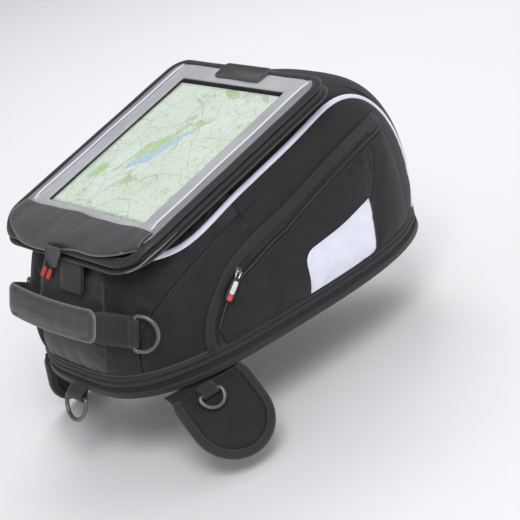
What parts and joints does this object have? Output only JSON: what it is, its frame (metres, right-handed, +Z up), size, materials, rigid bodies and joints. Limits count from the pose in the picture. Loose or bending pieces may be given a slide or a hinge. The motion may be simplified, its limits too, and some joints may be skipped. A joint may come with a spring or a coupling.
{
  "type": "tank bag",
  "caption": "Soft motorcycle luggage bag for a fuel tank, with a map pocket lid, side zip pockets, a rear carry handle and magnetic side flaps.",
  "frame": {"origin": "centre of the flat underside of the base, where the bag rests on the tank", "axes": "+X forward to the steering head, +Y left, +Z up out of the tank"},
  "size_m": [0.5139, 0.3763, 0.3473],
  "materials": {
    "black_nylon": "woven, matt, slight sheen",
    "coated_grey_fabric": "smooth coated, satin",
    "black_webbing": "ribbed webbing, matt",
    "zip_tape": "coil zip tape, matt",
    "lining_fabric": "thin woven lining",
    "stiffener_board": "hidden board",
    "grey_steel": "dark grey plating, satin",
    "red_puller": "moulded soft rubber over a cord",
    "silver_vinyl": "satin silver vinyl",
    "reflective_fabric": "retroreflective, satin",
    "clear_vinyl": "clear flexible vinyl, glossy",
    "map_paper": null,
    "moulded_rubber": "moulded, matt",
    "magnet_steel": "plated magnet discs, hidden"
  },
  "bodies": {
    "base": {"base_panel": "black_nylon", "base_stiffener": "stiffener_board", "base_binding": "black_webbing", "expansion_gusset": "black_nylon", "expansion_zip_lower": "zip_tape", "rear_tab": "black_webbing"},
    "bag": {"expansion_zip_upper": "zip_tape", "upper_collar": "black_nylon", "rear_panel": "coated_grey_fabric", "rear_yokes": "black_nylon", "side_panel_right": "black_nylon", "side_panel_left": "black_nylon", "front_panel": "black_nylon", "top_gussets": "black_nylon", "reflective_piping": "reflective_fabric", "inner_lining": "lining_fabric", "pocket_panels": "black_nylon", "pocket_welts": "black_nylon", "side_zips": "zip_tape", "reflective_patches": "reflective_fabric", "main_zip_lower": "zip_tape", "handle_anchors": "black_webbing"},
    "lid": {"lid_panel": "black_nylon", "lid_stiffener": "stiffener_board", "lid_binding": "black_webbing", "main_zip_upper": "zip_tape", "pocket_back": "black_nylon", "pocket_wall": "black_nylon", "pocket_frame": "silver_vinyl", "pocket_window": "clear_vinyl", "map_sheet": "map_paper", "pocket_binding": "black_webbing", "pocket_piping": "reflective_fabric", "front_badge": "moulded_rubber", "closure_strap": "black_webbing"},
    "map_flap": {"rear_flap": "coated_grey_fabric", "flap_pull_tab": "moulded_rubber"},
    "handle": {"handle_grip": "coated_grey_fabric", "handle_webbing": "black_webbing"},
    "magnet_flap_right": {"magnet_flap_right": "black_nylon", "flap_trim_right": "black_webbing", "flap_magnets_right": "magnet_steel"},
    "magnet_flap_left": {"magnet_flap_left": "black_nylon", "flap_trim_left": "black_webbing", "flap_magnets_left": "magnet_steel"},
    "main_slider_right": {"main_slider_right": "grey_steel"},
    "main_slider_left": {"main_slider_left": "grey_steel"},
    "main_puller_right": {"main_puller_right": "red_puller"},
    "main_puller_left": {"main_puller_left": "red_puller"},
    "side_slider_right": {"side_slider_right": "grey_steel"},
    "side_slider_left": {"side_slider_left": "grey_steel"},
    "side_puller_right": {"side_puller_right": "red_puller"},
    "side_puller_left": {"side_puller_left": "red_puller"},
    "expansion_slider": {"expansion_slider": "grey_steel"},
    "handle_ring_right": {"handle_ring_right": "grey_steel"},
    "handle_ring_left": {"handle_ring_left": "grey_steel"},
    "rear_ring": {"rear_ring": "grey_steel"},
    "flap_ring_right": {"flap_ring_right": "grey_steel"},
    "flap_ring_left": {"flap_ring_left": "grey_steel"}
  },
  "joints": [
    {"name": "expansion_slide", "type": "slide", "parent": "base", "child": "bag", "axis": [0, 0, 1], "range_m": [0, 0.03]},
    {"name": "lid_hinge", "type": "hinge", "parent": "bag", "child": "lid", "pos_m": [0.10701, 0, 0.23108], "axis": [0, 1, 0], "range_deg": [0, 95]},
    {"name": "map_flap_hinge", "type": "hinge", "parent": "lid", "child": "map_flap", "pos_m": [-0.16722, 0, 0.18516], "axis": [0, 1, 0], "range_deg": [0, 150]},
    {"name": "main_slider_right_slide", "type": "slide", "parent": "bag", "child": "main_slider_right", "axis": [0, -1, 0], "range_m": [0, 0.09]},
    {"name": "main_puller_right_hinge", "type": "hinge", "parent": "main_slider_right", "child": "main_puller_right", "pos_m": [-0.20511, 0.02648, 0.14733], "axis": [0.1533, 0.9699, 0.1891], "range_deg": [0, 45]},
    {"name": "main_slider_left_slide", "type": "slide", "parent": "bag", "child": "main_slider_left", "axis": [0, 1, 0], "range_m": [0, 0.03]},
    {"name": "main_puller_left_hinge", "type": "hinge", "parent": "main_slider_left", "child": "main_puller_left", "pos_m": [-0.20474, 0.03787, 0.14744], "axis": [0.2022, 0.9539, 0.2219], "range_deg": [0, 45]},
    {"name": "side_slider_right_slide", "type": "slide", "parent": "bag", "child": "side_slider_right", "axis": [0.9614, 0.0006, 0.2752], "range_m": [0, 0.03]},
    {"name": "side_puller_right_hinge", "type": "hinge", "parent": "side_slider_right", "child": "side_puller_right", "pos_m": [-0.08792, -0.14963, 0.10081], "axis": [-0.6629, 0.0691, 0.7455], "range_deg": [0, 90]},
    {"name": "side_slider_left_slide", "type": "slide", "parent": "bag", "child": "side_slider_left", "axis": [0.9614, -0.0006, 0.2752], "range_m": [0, 0.03]},
    {"name": "side_puller_left_hinge", "type": "hinge", "parent": "side_slider_left", "child": "side_puller_left", "pos_m": [-0.08792, 0.14963, 0.10081], "axis": [0.6629, 0.0691, -0.7455], "range_deg": [0, 90]},
    {"name": "expansion_slider_slide", "type": "slide", "parent": "base", "child": "expansion_slider", "axis": [1, 0, 0], "range_m": [0, 0.08]},
    {"name": "handle_swing", "type": "hinge", "parent": "bag", "child": "handle", "pos_m": [-0.20396, 0, 0.07998], "axis": [0, 1, 0], "range_deg": [-35, 8], "stiffness_Nm_per_rad": 0.4},
    {"name": "handle_ring_right_hinge", "type": "hinge", "parent": "bag", "child": "handle_ring_right", "pos_m": [-0.21413, -0.11126, 0.0813], "axis": [-0.2993, 0.0666, -0.9518], "range_deg": [0, 110]},
    {"name": "handle_ring_left_hinge", "type": "hinge", "parent": "bag", "child": "handle_ring_left", "pos_m": [-0.21413, 0.11126, 0.0813], "axis": [0.2993, 0.0666, 0.9518], "range_deg": [0, 110]},
    {"name": "rear_ring_hinge", "type": "hinge", "parent": "base", "child": "rear_ring", "pos_m": [-0.2539, -0.005, -0.00348], "axis": [0, 1, 0], "range_deg": [-30, 80]},
    {"name": "magnet_flap_right_hinge", "type": "hinge", "parent": "base", "child": "magnet_flap_right", "pos_m": [-0.163, -0.139, -0.0046], "axis": [-0.9958, 0.0752, -0.0518], "range_deg": [-105, 40]},
    {"name": "magnet_flap_left_hinge", "type": "hinge", "parent": "base", "child": "magnet_flap_left", "pos_m": [-0.163, 0.139, -0.0046], "axis": [0.9928, 0.1002, 0.0663], "range_deg": [-81, 64]},
    {"name": "flap_ring_right_hinge", "type": "hinge", "parent": "magnet_flap_right", "child": "flap_ring_right", "pos_m": [-0.17083, -0.15116, -0.00696], "axis": [-0.9958, 0.0752, -0.0518], "range_deg": [0, 90]},
    {"name": "flap_ring_left_hinge", "type": "hinge", "parent": "magnet_flap_left", "child": "flap_ring_left", "pos_m": [-0.17057, 0.14909, -0.01205], "axis": [0.9928, 0.1002, 0.0663], "range_deg": [0, 90]}
  ]
}
